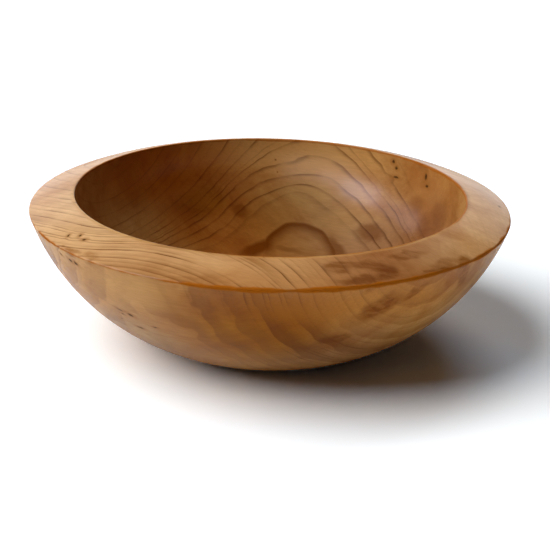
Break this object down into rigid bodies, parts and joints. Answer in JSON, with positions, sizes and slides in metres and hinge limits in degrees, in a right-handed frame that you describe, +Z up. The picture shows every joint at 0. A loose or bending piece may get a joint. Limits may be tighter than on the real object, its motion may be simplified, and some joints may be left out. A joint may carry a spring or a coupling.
{
  "type": "turned wooden bowl",
  "caption": "Round turned bowl in one piece of figured timber, with a wide outward-sloping rim, an arc-curved side and a plain hollow for fruit or display.",
  "frame": {"origin": "middle of the foot, on the plane that the bowl stands on", "axes": "+Z up along the turning axis, -Y towards the viewer of the picture, +X to the viewer's right"},
  "size_m": [0.32, 0.32, 0.1026],
  "materials": {
    "timber": "satin lacquer over honey-brown timber with darker growth rings"
  },
  "bodies": {
    "root": {"bowl_body": "timber"}
  },
  "joints": []
}
